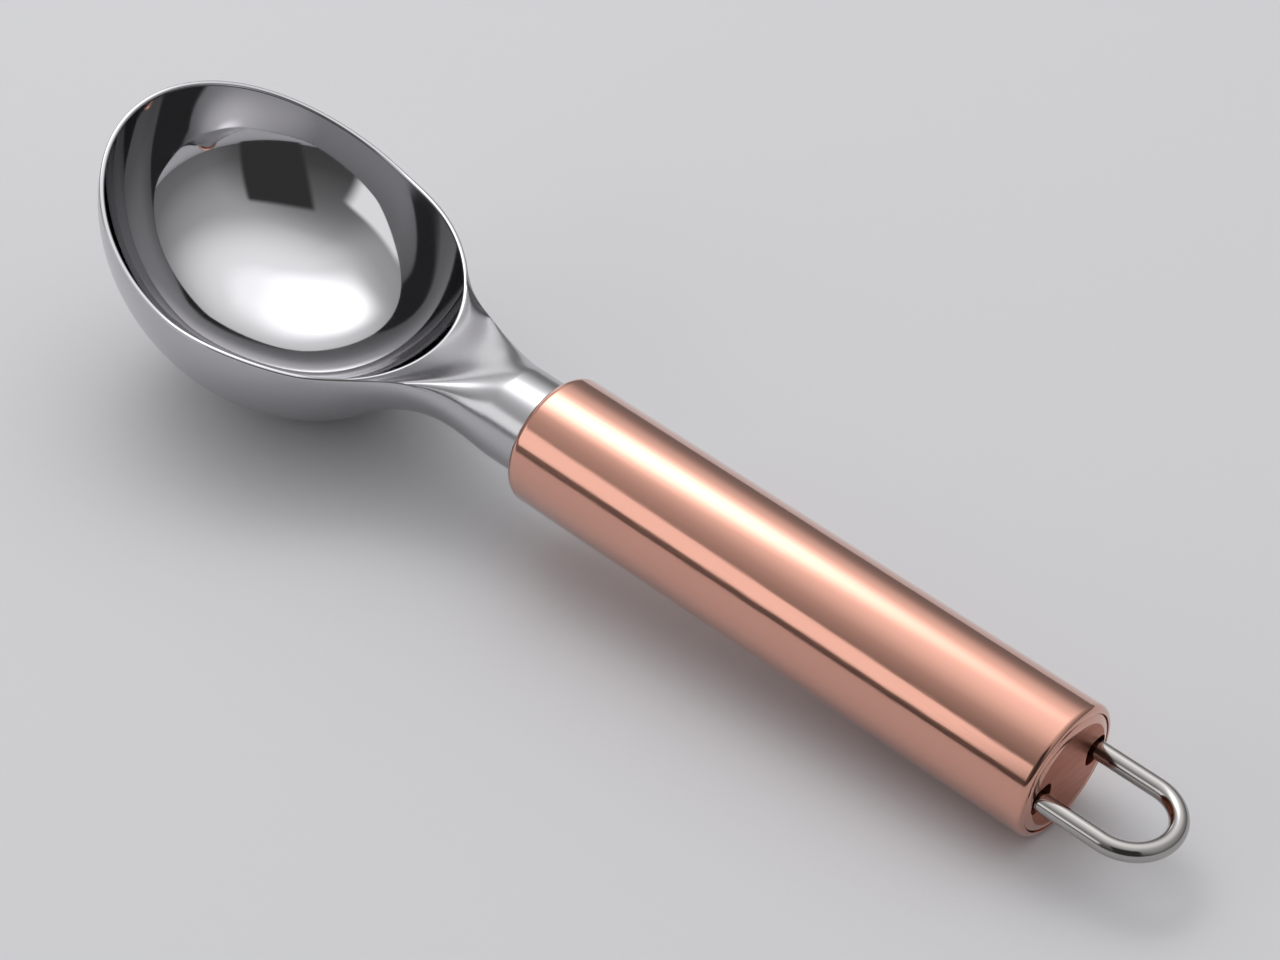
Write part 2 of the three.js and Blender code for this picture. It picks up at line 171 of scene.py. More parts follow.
class ScoopHandleSizes(bpy.types.PropertyGroup):
    """Sizes of the handle tube, its end cap and the hanging loop."""

    diameter: length("Handle diameter", "Outside of the tube", 22)
    length: length("Handle length", "Front face to rear edge", 100)
    tube_wall: length("Tube wall", "Wall of the tube", 1.1)
    front_wall: length("Front wall", "Wall round the shank", 1.5)
    front_round: length("Front round", "Rounding of the front edge", 1.6)
    rear_round: length("Rear round", "Rounding of the rear edge", 1)
    fit: length("Fit", "Clearance between pieces that fit together", 0.3)
    cap_rise: length("Cap rise", "Cap's flat face past the tube's rear edge", 0.3)
    cap_floor: length("Cap floor", "Thickness of the cap's face", 1.5)
    cap_shoulder: length("Cap shoulder", "Width of the cap's rounded border", 1.4)
    cap_gap: length("Cap gap", "Seam between the cap and the tube's bore", 0.05)
    cap_edge: length("Cap edge", "Start of the cap's rounded border inside the tube's rear edge", 0.45)
    wire_diameter: length("Wire diameter", "Thickness of the loop's wire", 3)
    loop_inset: length("Loop inset", "Wire's centre line inside the tube's bore", 3)
    pocket_room: length("Pocket room", "Extra room in the cap's pockets towards the axis", 0.8)
    loop_straight: length("Loop straight", "Rear edge to the start of the bow", 11)
    foot_bend: length("Foot bend", "Bend radius of the wire's turned-in feet", 2)
    foot_gap: length("Foot gap", "Gap between the two feet", 4)
    loop_swing: angle("Loop swing", "How far the loop swings either way", 10)


class ScoopFinishes(bpy.types.PropertyGroup):
    """Colours of the pieces."""

    plating: colour("Plating", "Mirror plating of the casting", "C2C1C4")
    copper: colour("Copper", "Copper plating of the tube", "DA9F8B")
    cap: colour("Cap", "Satin copper of the end cap", "B56F57")
    wire: colour("Wire", "Bright plated wire", "B2AFAD")
    steel: colour("Steel", "Plain steel of the pin and screws", "9A9A9C")
    rubber: colour("Rubber", "Seal behind the tube's front wall", "1D1D1F")
    nylon: colour("Nylon", "Bush and loop carrier", "D9D4C8")
    filler: colour("Filler", "Moulded core", "4A4A4D")
    floor: colour("Floor", "Pale table top", "E2E2E5")


class ScoopStageSettings(bpy.types.PropertyGroup):
    """Camera and light."""

    camera_azimuth: angle("Camera azimuth", "Camera's direction round the object", 42.39)
    camera_elevation: angle("Camera elevation", "Camera's height over the horizon", 39.86)
    camera_roll: angle("Camera roll", "Lean of the picture", -0.78)
    camera_distance: length("Camera distance", "Camera to its target", 477.57)
    camera_lens: share("Camera lens", "Focal length in millimetres on a 36 mm sensor", 87.6)
    key_strength: share("Key strength", "Glow of the large overhead softbox", 1.4)
    core_strength: share("Core strength", "Glow of the middle of the softbox", 3.7)
    side_strength: share("Side strength", "Glow of the narrow side card", 1.25)
    low_strength: share("Low strength", "Glow of the low card behind the bowl", 1.1)
    room_strength: share("Room strength", "Light of the room around", 1.1)


def place(points):
    """Points of the handle's frame in the part's frame: the axis comes from the end face, y stays across."""
    handle = bpy.context.scene.scoop_handle
    along = np.array(END_FACE["axis"])
    up = np.array([-along[2], 0.0, along[0]])
    start = np.array(END_FACE["pos_m"]) - face_x(handle) * along
    across = np.array([0.0, 1.0, 0.0])
    return start + points[..., :1] * along + points[..., 1:2] * across + points[..., 2:] * up


def grid_faces(rows, columns, closed):
    """Four-cornered faces of a grid of points, joined round its columns if closed."""
    steps = columns if closed else columns - 1
    row, column = np.meshgrid(np.arange(rows - 1), np.arange(steps), indexing="ij")
    after = (column + 1) % columns
    low, high = row * columns, (row + 1) * columns
    return np.stack([low + column, low + after, high + after, high + column], -1).reshape(-1, 4)


def build(name, grids, *materials):
    """Closed mesh from (points, closed, material number) grids that share their borders.

    Borders and poles are merged into one skin.
    """
    points, faces, numbers, count = [], [], [], 0
    for grid, closed, number in grids:
        rows, columns = grid.shape[:2]
        quads = grid_faces(rows, columns, closed)
        faces.append(quads + count)
        numbers.append(np.full(len(quads), number))
        points.append(place(grid.reshape(-1, 3)))
        count += rows * columns
    mesh = bpy.data.meshes.new(name)
    mesh.from_pydata(np.concatenate(points).tolist(), [], np.concatenate(faces).tolist())
    for material in materials:
        mesh.materials.append(material)
    mesh.polygons.foreach_set("material_index", np.concatenate(numbers))
    skin = bmesh.new()
    skin.from_mesh(mesh)
    bmesh.ops.remove_doubles(skin, verts=skin.verts, dist=MERGE)
    bmesh.ops.dissolve_degenerate(skin, edges=skin.edges, dist=SLIVER)
    bmesh.ops.recalc_face_normals(skin, faces=skin.faces)
    skin.to_mesh(mesh)
    skin.free()
    smooth(mesh)
    piece = bpy.data.objects.new(name, mesh)
    bpy.context.collection.objects.link(piece)
    return piece


def smooth(mesh):
    """Smooth shading with crisp edges where faces meet at a steep angle."""
    mesh.shade_smooth()
    mesh.set_sharp_from_angle(angle=SMOOTH_ANGLE)


def smoothstep(value, low, high):
    """Eased rise from 0 at low to 1 at high."""
    t = np.clip((value - low) / (high - low), 0, 1)
    return t * t * (3 - 2 * t)


def hermite(a, slope_a, b, slope_b, t):
    """Cubic from a to b with the given end slopes, t from 0 to 1."""
    rise = t * t * (3 - 2 * t)
    return a + (b - a) * rise + slope_a * t * (1 - t) ** 2 - slope_b * t * t * (1 - t)


def hump(t):
    """Rise and fall 16 t^2 (1 - t)^2: nothing and level at 0 and 1, and 1 halfway."""
    return 16 * t ** 2 * (1 - t) ** 2


class HeadShape:
    """Surfaces of the casting.

    The bowl has a frame of its own: u along the rim's chord from the tip to the neck, y across and w square
    to both, with its origin at the middle of the chord.
    """

    def __init__(self, sizes):
        self.sizes = sizes
        self.half_length = sizes.bowl_length / 2
        self.half_width = sizes.bowl_width / 2
        self.depth = sizes.bowl_depth
        self.tilt = sizes.bowl_tilt
        self.round = sizes.rim_round
        self.middle = -sizes.rim_sag / 2
        self.shank = sizes.shank_diameter / 2
        self.join_u = self.half_length * math.cos(sizes.side_join)
        self.root_u = self.half_length + (sizes.neck_reach - sizes.shank_reach) / math.cos(self.tilt)
        self.side_u = self.half_length + (sizes.neck_reach - sizes.side_start) / math.cos(self.tilt)
        self.chord = (
            -sizes.neck_reach - self.half_length * math.cos(self.tilt),
            sizes.neck_rim_height + self.half_length * math.sin(self.tilt),
        )
        ridge = self.rim(np.zeros(1))[1]
        self.ridge_share = self.neck_share(ridge[0, 0])

    def rim_height(self, u):
        """Rim over its chord.

        With t = u / half length it is the parabola sag (t^2 - 1), which meets the chord at the tip and at the
        neck, plus a hump on the neck's half.
        """
        t = u / self.half_length
        return self.sizes.rim_sag * (t ** 2 - 1) + self.sizes.rim_lift * hump(np.clip(t, 0, 1))

    def neck_share(self, u):
        """Share of the way from the shank's root, 0, to where the neck's sides join the bowl, 1."""
        return (u - self.root_u) / (self.join_u - self.root_u)

    def handle_point(self, u, y, w):
        """Bowl frame to handle frame: turned by the bowl's tilt about the middle of the chord."""
        x = self.chord[0] + u * math.cos(self.tilt) + w * math.sin(self.tilt)
        z = self.chord[1] - u * math.sin(self.tilt) + w * math.cos(self.tilt)
        return np.stack(np.broadcast_arrays(x, y, z), -1)

    def rim(self, turn):
        """Outer edge, ridge and inner edge of the rim at the given turns, as (u, y, w) rows.

        The outer edge lies on the outer ellipsoid, one rounding under the rim. Its latitude is found by
        repeating sin = (rim - rounding - middle) / depth until it settles.
        """
        rise = np.zeros_like(turn)
        for _ in range(RIM_ROUNDS):
            u = self.half_length * np.sqrt(1 - rise ** 2) * np.cos(turn)
            rise = (self.rim_height(u) - self.round - self.middle) / self.depth
        reach = np.sqrt(1 - rise ** 2)
        wall = self.sizes.rim_wall

        def ring(inset, drop):
            """The rim's oval moved in and down."""
            u = (self.half_length - inset) * reach * np.cos(turn)
            y = (self.half_width - inset) * reach * np.sin(turn)
            return np.stack([u, y, self.rim_height(u) - drop], -1)

        return ring(0, self.round), ring(wall / 2, 0), ring(wall, self.round)

    def join_turn(self):
        """Turn at which the outer edge passes the section where the neck's sides join the bowl."""
        turns = np.linspace(0, math.pi / 2, JOIN_STEPS + 1)
        return float(np.interp(-self.join_u, -self.rim(turns)[0][:, 0], turns))

    def ellipse(self, half_axis, u):
        """Half size of the bowl's ellipse at u along the chord."""
        return half_axis * np.sqrt(np.maximum(1 - (u / self.half_length) ** 2, 0))

    def half_width_at(self, u):
        """Half width of the neck: the bowl's ellipse up to the join, then shank + flared s^p.

        s goes from 1 at the join to 0 where the sides end, and the power p lets the side leave the ellipse
        along its tangent.
        """
        join = self.sizes.side_join
        flared = self.half_width * math.sin(join) - self.shank
        span = self.side_u - self.join_u
        power = self.half_width / self.half_length / math.tan(join) * span / flared
        side = self.shank + flared * np.clip((self.side_u - u) / span, 0, 1) ** power
        return np.where(u < self.join_u, self.ellipse(self.half_width, u), side)

    def depth_at(self, u):
        """Depth of the neck: the bowl's ellipse up to the join, then eased to the shank's radius."""
        join = self.sizes.under_join
        join_u = self.half_length * math.cos(join)
        span = join_u - self.root_u
        slope = -self.depth * span / self.half_length / math.tan(join)
        way = np.clip((u - self.root_u) / span, 0, 1)
        eased = hermite(self.shank, 0, self.depth * math.sin(join), slope, way)
        return np.where(u < join_u, self.ellipse(self.depth, u), eased)

    def neck_rows(self, u):
        """What shapes the neck at u: its edge point, lean, half width, depth, edge drop and offset.

        The offset is that of the lower half's centre over the edge. It eases from the bowl's own centre at
        the join to nothing at the rim's end.
        """
        way = self.neck_share(u)
        to_ridge = smoothstep(way, 0, self.ridge_share)
        edge = self.handle_point(u, 0.0, self.rim_height(u))
        edge[..., 2] *= to_ridge
        start = self.middle - self.rim_height(self.join_u) + self.round
        span = self.half_length - self.join_u
        low, high = self.join_u - RIM_STEP, self.join_u + RIM_STEP
        slope = (self.rim_height(low) - self.rim_height(high)) / (2 * RIM_STEP) * span
        offset = hermite(start, slope, 0, 0, np.clip((u - self.join_u) / span, 0, 1))
        return {
            "edge": edge,
            "lean": self.tilt * smoothstep(way, 0, 1),
            "width": self.half_width_at(u),
            "depth": self.depth_at(u),
            "drop": self.round * to_ridge,
            "offset": offset,
        }

    def neck_point(self, rows, y, over):
        """Point of a neck section: y across, and over the edge along the section's lean."""
        x = rows["edge"][..., 0] + over * np.sin(rows["lean"])
        z = rows["edge"][..., 2] + over * np.cos(rows["lean"])
        return np.stack(np.broadcast_arrays(x, y, z), -1)

    def under_turns(self, rows):
        """Turns round the lower half of a neck section, from its edge on +y to its edge on -y."""
        first = np.arcsin(rows["offset"] / rows["depth"])
        return first + (math.pi - 2 * first) * np.linspace(0, 1, SECTION_COLUMNS + 1)

    def edge_lift(self, t, across):
        """Rise of the neck towards its side edges: edge rise hump(t) |c|^p.

        t goes from 0 at the rim to 1 at the shank, and c is the share of the half width.
        """
        return self.sizes.edge_rise * hump(t) * np.abs(across) ** self.sizes.edge_power

    def outer_bowl(self, turns):
        """Outside of the bowl: meridians of the outer ellipsoid from its lowest point to the rim's edge.

        In the range of the neck they end at the joining section.
        """
        edge = self.rim(turns)[0]
        rim_turn = np.arctan2(edge[:, 1] / self.half_width, edge[:, 0] / self.half_length)
        rim_lift = np.arcsin((edge[:, 2] - self.middle) / self.depth)
        under = self.under_turns(self.neck_rows(np.array(self.join_u)))[::-1]
        reach = math.sin(self.sizes.side_join)
        neck_turn = np.arctan2(reach * np.cos(under), math.cos(self.sizes.side_join))
        neck_lift = np.arcsin(-reach * np.sin(under))
        turn = np.concatenate([rim_turn, neck_turn[1:-1]])
        lift = np.concatenate([rim_lift, neck_lift[1:-1]])
        rows = np.linspace(0, 1, BOWL_ROWS + 1)[:, None]
        lat = -math.pi / 2 + (lift + math.pi / 2) * rows
        u = self.half_length * np.cos(lat) * np.cos(turn)
        y = self.half_width * np.cos(lat) * np.sin(turn)
        return self.handle_point(u, y, self.middle + self.depth * np.sin(lat))

    def edge_profile(self, low, high):
        """Half of the rim's profile: a full ellipse's quarter from a lower edge up to the ridge."""
        turn = np.linspace(0, math.pi / 2, EDGE_ROWS + 1)[:, None]
        power = 2 / self.sizes.rim_flatness
        inward = 1 - np.clip(np.cos(turn), 0, 1) ** power
        u = low[:, 0] + (high[:, 0] - low[:, 0]) * inward
        y = low[:, 1] + (high[:, 1] - low[:, 1]) * inward
        w = low[:, 2] + (high[:, 2] - low[:, 2]) * np.sin(turn) ** power
        return u, y, w

    def inside(self, turns):
        """Inside of the bowl: rays from its lowest point to the rim's inner edge.

        Along a ray, with s from 0 to 1, the height follows 1 - (1 - (k s)^p)^(1/p), a part of a quarter of a
        full ellipse.
        """
        edge = self.rim(turns)[2]
        lowest = self.middle - (self.depth - self.sizes.floor_wall)
        power, part = self.sizes.fullness, self.sizes.wall_share
        s = np.sin(np.linspace(0, math.pi / 2, BOWL_ROWS + 1))[:, None]
        rise = 1 - (1 - (part * s) ** power) ** (1 / power)
        rise /= 1 - (1 - part ** power) ** (1 / power)
        shift = self.sizes.floor_shift
        u = shift + (edge[:, 0] - shift) * s
        return self.handle_point(u, edge[:, 1] * s, lowest + (edge[:, 2] - lowest) * rise)

    def neck_top(self, turns):
        """Top of the neck from the rim's ridge to the shank, in columns of equal share c of the half width.

        With s from 1 at the ridge to 0 at the shank, the height is radius (1 - s^fall) (1 - |c|^p)^(1/p),
        where p goes from 2 at the shank to the neck's shoulders at the rim. The rim's rounding along the
        sides comes off it, and the rise towards the side edges is added.
        """
        outer, ridge, _ = self.rim(turns)
        profile = [np.stack(self.edge_profile(outer[[i]], ridge[[i]]), -1)[:, 0] for i in (0, -1)]
        start = np.concatenate([profile[0][:-1], ridge, profile[1][-2::-1]])
        first = self.neck_rows(start[:, 0])
        across = start[:, 1] / self.edge_width(first)
        across[0], across[-1] = 1.0, -1.0
        rows = np.linspace(0, 1, NECK_ROWS + 1)[:, None]
        u = start[:, 0] + (self.root_u - start[:, 0]) * rows
        neck = self.neck_rows(u)
        y = across * self.edge_width(neck)
        slope = (self.edge_width(self.neck_rows(u + SIDE_STEP)) - self.edge_width(neck)) / SIDE_STEP
        inward = (self.edge_width(neck) - np.abs(y)) / np.sqrt(1 + slope ** 2)
        outside = 1 - np.clip(inward / (self.sizes.rim_wall / 2), 0, 1)
        flatness = self.sizes.rim_flatness
        rounding = (1 - outside ** flatness) ** (1 / flatness)
        to_ridge = 1 - rows
        power = 2 + (self.sizes.neck_shoulders - 2) * smoothstep(to_ridge, 0, 1)
        section = np.maximum(1 - np.abs(across) ** power, 0) ** (1 / power)
        over = self.shank * (1 - to_ridge ** self.sizes.neck_fall) * section + neck["drop"] * (rounding - 1)
        points = self.neck_point(neck, y, over + self.edge_lift(rows, across))
        points[0] = self.handle_point(*start.T)
        return points

    def edge_width(self, rows):
        """Half width of a neck section at its edge, a little above the centre of the lower half."""
        return rows["width"] * np.sqrt(1 - (rows["offset"] / rows["depth"]) ** 2)

    def neck_under(self):
        """Underside of the neck: the lower halves of ellipses from the joining section to the shank."""
        t = np.linspace(0, 1, NECK_ROWS + 1)[:, None]
        rows = self.neck_rows(self.join_u + (self.root_u - self.join_u) * t)
        turns = self.under_turns(rows)
        y = rows["width"] * np.cos(turns)
        over = rows["offset"] - rows["drop"] - rows["depth"] * np.sin(turns)
        return self.neck_point(rows, y, over + self.edge_lift(t, y / self.edge_width(rows)))

    def shank_and_tang(self, ring):
        """Straight bar and tang: the neck's last section carried back along x and scaled, down to a pole."""
        tang = self.sizes.tang_diameter / 2
        bevel = self.sizes.tang_chamfer
        step = self.sizes.shank_inside
        end = step + self.sizes.tang_length
        radius = np.array([self.shank, self.shank, self.shank, tang, tang, tang - bevel, 0])
        x = np.array([ring[0, 0], 0, step, step, end - bevel, end, end])
        points = ring[None] * (radius / self.shank)[:, None, None]
        points[..., 0] = x[:, None]
        return points

    def grids(self):
        """All surfaces of the casting, sharing their borders."""
        join = self.join_turn()
        around = np.linspace(join, 2 * math.pi - join, RIM_COLUMNS + 1)
        over_neck = np.linspace(join, -join, RIDGE_COLUMNS + 1)
        every = np.concatenate([around, over_neck[-2:0:-1] + 2 * math.pi])
        outer, ridge, inner = self.rim(every)
        outer_part, ridge_part, _ = self.rim(around)
        top = self.neck_top(over_neck)
        under = self.neck_under()
        ring = np.concatenate([top[-1], under[-1][-2:0:-1]])
        return [
            (self.outer_bowl(around), True, OUTSIDE),
            (self.handle_point(*self.edge_profile(outer_part, ridge_part)), False, INSIDE),
            (self.handle_point(*self.edge_profile(inner, ridge)), True, INSIDE),
            (self.inside(every), True, INSIDE),
            (top, False, OUTSIDE),
            (under, False, OUTSIDE),
            (self.shank_and_tang(ring), True, OUTSIDE),
        ]


def arc(radius_centre, x_centre, radius, start, end, rows):
    """(radius, x) points of an arc, where 0 points outwards and a quarter turn points along +x."""
    turn = np.linspace(start, end, rows + 1)
    return np.stack([radius_centre + radius * np.cos(turn), x_centre + radius * np.sin(turn)], -1)


def turned(profile):
    """Surface of revolution about the handle's axis from (radius, x) points."""
    turn = np.linspace(0, 2 * math.pi, ROUND_COLUMNS, endpoint=False)
    radius, x = profile[:, :1], profile[:, 1:]
    return np.stack(np.broadcast_arrays(x, radius * np.cos(turn), radius * np.sin(turn)), -1)


def tube_profile(handle, shank):
    """Tube wall as a closed ring profile: turned-in front wall, rounded front and rear edges, plain bore."""
    outside = handle.diameter / 2
    bore = outside - handle.tube_wall
    hole = shank + handle.fit
    quarter = math.pi / 2
    bend, edge = handle.front_round, handle.rear_round
    front = arc(outside - bend, bend, bend, -quarter, 0, CORNER_ROWS)
    rear = arc(outside - edge, handle.length - edge, edge, 0, quarter, CORNER_ROWS)
    bores = [[bore, handle.length], [bore, handle.front_wall], [hole, handle.front_wall], [hole, 0]]
    return np.concatenate([[[hole, 0]], front, rear, bores])


def face_x(handle):
    """Place along the handle of the cap's flat face."""
    return handle.length + handle.cap_rise


def cap_profiles(handle):
    """Cap as (radius, x) points: its flat face, and its rounded border, outer wall and back.

    The border is an ellipse's quarter whose last part is left off, so it meets the face at a crisp edge.
    """
    fill = handle.diameter / 2 - handle.tube_wall - handle.cap_gap
    face = face_x(handle)
    start = handle.length - handle.cap_edge
    turn = np.linspace(0, BORDER_TURN, 2 * CORNER_ROWS + 1)
    inward = (1 - np.cos(turn)) / (1 - math.cos(BORDER_TURN))
    rise = np.sin(turn) / math.sin(BORDER_TURN)
    border = np.stack([fill - handle.cap_shoulder * inward, start + (face - start) * rise], -1)[::-1]
    back = face - handle.cap_floor
    return np.array([[0, face], border[0]]), np.concatenate([border, [[fill, back], [0, back]]])


def pivot_x(handle):
    """Place along the handle of the centre line of the loop's feet, behind the cap."""
    return face_x(handle) - handle.cap_floor - handle.fit - handle.wire_diameter / 2


def leg_side(handle):
    """Distance of each leg of the loop from the middle plane."""
    return handle.diameter / 2 - handle.tube_wall - handle.loop_inset


def pocket(handle, side):
    """Wedge that leaves a leg room to swing: full ellipses with z half heights that grow from the pivot."""
    reach = handle.wire_diameter / 2 + handle.fit
    x = np.array([pivot_x(handle), face_x(handle) + handle.wire_diameter])[:, None]
    half = reach / math.cos(handle.loop_swing) + (x - pivot_x(handle)) * math.tan(handle.loop_swing)
    turn = np.linspace(0, 2 * math.pi, WIRE_COLUMNS, endpoint=False)
    full = np.stack([np.cos(turn), np.sin(turn)])
    full = np.sign(full) * np.abs(full) ** (2 / POCKET_POWER)
    y = side * (leg_side(handle) - handle.pocket_room / 2 + (reach + handle.pocket_room / 2) * full[0])
    z = half * full[1]
    ring = np.stack(np.broadcast_arrays(x, y, z), -1)
    middle = np.broadcast_to(ring.mean(1, keepdims=True), ring.shape)
    return np.concatenate([middle[:1], ring, middle[1:]])


def loop_path(handle):
    """Centre line of the wire as (x, y, heading) rows: foot, bend, leg, half-round bow, leg, bend, foot."""
    pivot, side, bend = pivot_x(handle), leg_side(handle), handle.foot_bend
    turn = np.linspace(0, math.pi / 2, BEND_ROWS + 1)
    foot = np.array([[pivot, handle.foot_gap / 2, math.pi / 2]])
    corner_x = pivot + bend * (1 - np.cos(turn))
    corner_y = side - bend * (1 - np.sin(turn))
    corner = np.stack([corner_x, corner_y, math.pi / 2 - turn], -1)
    half = np.linspace(0, math.pi, BOW_ROWS + 1)
    bow_x = handle.length + handle.loop_straight
    bow = np.stack([bow_x + side * np.sin(half), side * np.cos(half), -half], -1)
    back = np.concatenate([foot, corner])[::-1] * [1, -1, -1] - [0, 0, math.pi]
    return np.concatenate([foot, corner, bow, back])


def wire_sweep(path, radius):
    """Round wire carried along a flat path, closed by a pole at each end."""
    turn = np.linspace(0, 2 * math.pi, WIRE_COLUMNS, endpoint=False)
    path = np.concatenate([path[:1], path, path[-1:]])
    thick = np.full((len(path), 1), radius)
    thick[0] = thick[-1] = 0
    x = path[:, :1] - thick * np.cos(turn) * np.sin(path[:, 2:])
    y = path[:, 1:2] + thick * np.cos(turn) * np.cos(path[:, 2:])
    return np.stack([x, y, thick * np.sin(turn)], -1)


def add_node(tree, kind, settings=None, **inputs):
    """Adds a node, sets its attributes, and gives each named input a value or a link from another socket."""
    node = tree.nodes.new(kind)
    for name, value in (settings or {}).items():
        setattr(node, name, value)
    for name, value in inputs.items():
        socket = node.inputs[name.replace("_", " ")]
        if isinstance(value, bpy.types.NodeSocket):
            tree.links.new(value, socket)
        else:
            socket.default_value = value
    return node


def new_material(name):
    """Empty material with its output node; returns the material, its tree and its surface input."""
    material = bpy.data.materials.new(name)
    material.use_nodes = True
    material.node_tree.nodes.clear()
    output = add_node(material.node_tree, "ShaderNodeOutputMaterial")
    return material, material.node_tree, output.inputs["Surface"]


def per_metre(millimetres):
    """Texture scale at which one cell is that many millimetres."""
    return 1 / (millimetres * MM)


def grain_shader(tree, surface, tint, gloss, rough, relief, depth_mm, metallic=1, spread=(0.3, 0.7), **coat):
    """Shader of one colour whose roughness follows the noise gloss and whose bump follows the noise relief.

    spread is the part of the noise that runs through the roughness from its low to its high value.
    """
    roughness = add_node(
        tree, "ShaderNodeMapRange", Value=gloss.outputs["Fac"],
        From_Min=spread[0], From_Max=spread[1], To_Min=rough[0], To_Max=rough[1],
    )
    bump = add_node(
        tree, "ShaderNodeBump", Strength=1.0, Distance=depth_mm * MM, Height=relief.outputs["Fac"],
    )
    shader = add_node(
        tree, "ShaderNodeBsdfPrincipled", Base_Color=(*tint, 1), Metallic=metallic,
        Roughness=roughness.outputs["Result"], Normal=bump.outputs["Normal"], **coat,
    )
    tree.links.new(shader.outputs["BSDF"], surface)


def mirror_plating(tint):
    """Bright nickel-chrome plate on a polished casting: a clear mirror, faintly hazy and slowly wavy."""
    material, tree, surface = new_material("mirror_plated_casting")
    place_on = add_node(tree, "ShaderNodeTexCoord").outputs["Object"]
    haze = add_node(tree, "ShaderNodeTexNoise", Vector=place_on, Scale=per_metre(5), Detail=4.0)
    wave = add_node(tree, "ShaderNodeTexNoise", Vector=place_on, Scale=per_metre(14), Detail=1.0)
    grain_shader(tree, surface, tint, haze, (0.03, 0.06), wave, 0.012)
    return material


def satin_plating(tint):
    """The same plate over the finely ground outside: soft, slightly grainy reflections."""
    material, tree, surface = new_material("satin_plated_casting")
    place_on = add_node(tree, "ShaderNodeTexCoord").outputs["Object"]
    grain = add_node(tree, "ShaderNodeTexNoise", Vector=place_on, Scale=per_metre(0.35), Detail=3.0)
    grain_shader(tree, surface, tint, grain, (0.18, 0.24), grain, 0.001)
    return material


def handle_tilt():
    """Angle about y that turns the part's x axis along the handle."""
    along = END_FACE["axis"]
    return math.atan2(-along[2], along[0])


def copper_plating(tint):
    """Copper plate on a tube polished along its length: warm and glossy.

    Fine short grain along the axis breaks the edges of the highlights, and a clear lacquer over the plate
    pales the brightest of them.
    """
    material, tree, surface = new_material("polished_copper_plate")
    place_on = add_node(tree, "ShaderNodeTexCoord").outputs["Object"]
    along = add_node(
        tree, "ShaderNodeVectorRotate", {"rotation_type": "Y_AXIS"}, Vector=place_on, Angle=-handle_tilt(),
    )
    stretched = add_node(
        tree, "ShaderNodeMapping", Vector=along.outputs["Vector"],
        Scale=(per_metre(5), per_metre(0.3), per_metre(0.3)),
    )
    grain = add_node(tree, "ShaderNodeTexNoise", Vector=stretched.outputs["Vector"], Scale=1.0, Detail=3.0)
    grain_shader(
        tree, surface, tint, grain, (0.07, 0.14), grain, 0.004, Coat_Weight=1.0, Coat_Roughness=0.08,
    )
    return material


def satin_copper(tint):
    """Pressed copper-plated cap: satin, darker than the tube, with soft rubbed streaks across it."""
    material, tree, surface = new_material("satin_copper_plate")
    place_on = add_node(tree, "ShaderNodeTexCoord").outputs["Object"]
    stretched = add_node(
        tree, "ShaderNodeMapping", Vector=place_on,
        Scale=(per_metre(3), per_metre(6), per_metre(0.8)),
    )
    rub = add_node(tree, "ShaderNodeTexNoise", Vector=stretched.outputs["Vector"], Scale=1.0, Detail=5.0)
    grain_shader(tree, surface, tint, rub, (0.28, 0.45), rub, 0.01, spread=(0.25, 0.75))
    return material


def grained(name, tint, metallic, roughness, grain_mm, depth_mm):
    """Plain machined or moulded stuff: one colour whose gloss and surface vary with a fine grain."""
    material, tree, surface = new_material(name)
    place_on = add_node(tree, "ShaderNodeTexCoord").outputs["Object"]
    grain = add_node(tree, "ShaderNodeTexNoise", Vector=place_on, Scale=per_metre(grain_mm), Detail=3.0)
    rough = (roughness * 0.85, roughness * 1.15)
    grain_shader(tree, surface, tint, grain, rough, grain, depth_mm, metallic)
    return material


class SCOOP_OT_head(bpy.types.Operator):
    """Builds the plated casting: bowl, neck, shank and tang in one skin"""

    bl_idname = "scoop.head"
    bl_label = "Scoop head"

    def execute(self, context):
        scene = context.scene
        tint = scene.scoop_finishes.plating
        grids = HeadShape(scene.scoop_head).grids()
        piece = build("plated_head", grids, satin_plating(tint), mirror_plating(tint))
        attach(piece, "scoop")
        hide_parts("scoop_head")
        return {"FINISHED"}


class SCOOP_OT_tube(bpy.types.Operator):
    """Builds the copper-plated handle tube"""

    bl_idname = "scoop.tube"
    bl_label = "Handle tube"

    def execute(self, context):
        scene = context.scene
        profile = tube_profile(scene.scoop_handle, scene.scoop_head.shank_diameter / 2)
        copper = copper_plating(scene.scoop_finishes.copper)
        piece = build("copper_tube", [(turned(profile), True, 0)], copper)
        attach(piece, "scoop")
        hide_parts("handle_tube")
        return {"FINISHED"}


class SCOOP_OT_cap(bpy.types.Operator):
    """Builds the end cap and cuts the two pockets for the loop's legs"""

    bl_idname = "scoop.cap"
    bl_label = "End cap"

    def execute(self, context):
        scene = context.scene
        handle = scene.scoop_handle
        satin = satin_copper(scene.scoop_finishes.cap)
        polished = bpy.data.materials["polished_copper_plate"]
        face, border = cap_profiles(handle)
        grids = [(turned(face), True, FACE), (turned(border), True, SHOULDER)]
        piece = build("end_plug", grids, satin, polished)
        cutters = [build("pocket_cutter", [(pocket(handle, side), True, FACE)], satin) for side in (-1, 1)]
        for cutter in cutters:
            cut = piece.modifiers.new("pocket", "BOOLEAN")
            cut.operation = "DIFFERENCE"
            cut.solver = "EXACT"
            cut.object = cutter
        finished = bpy.data.meshes.new_from_object(piece.evaluated_get(context.evaluated_depsgraph_get()))
        piece.modifiers.clear()
        piece.data = finished
        smooth(finished)
        for cutter in cutters:
            bpy.data.objects.remove(cutter)
        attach(piece, "scoop")
        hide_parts("end_cap")
        return {"FINISHED"}


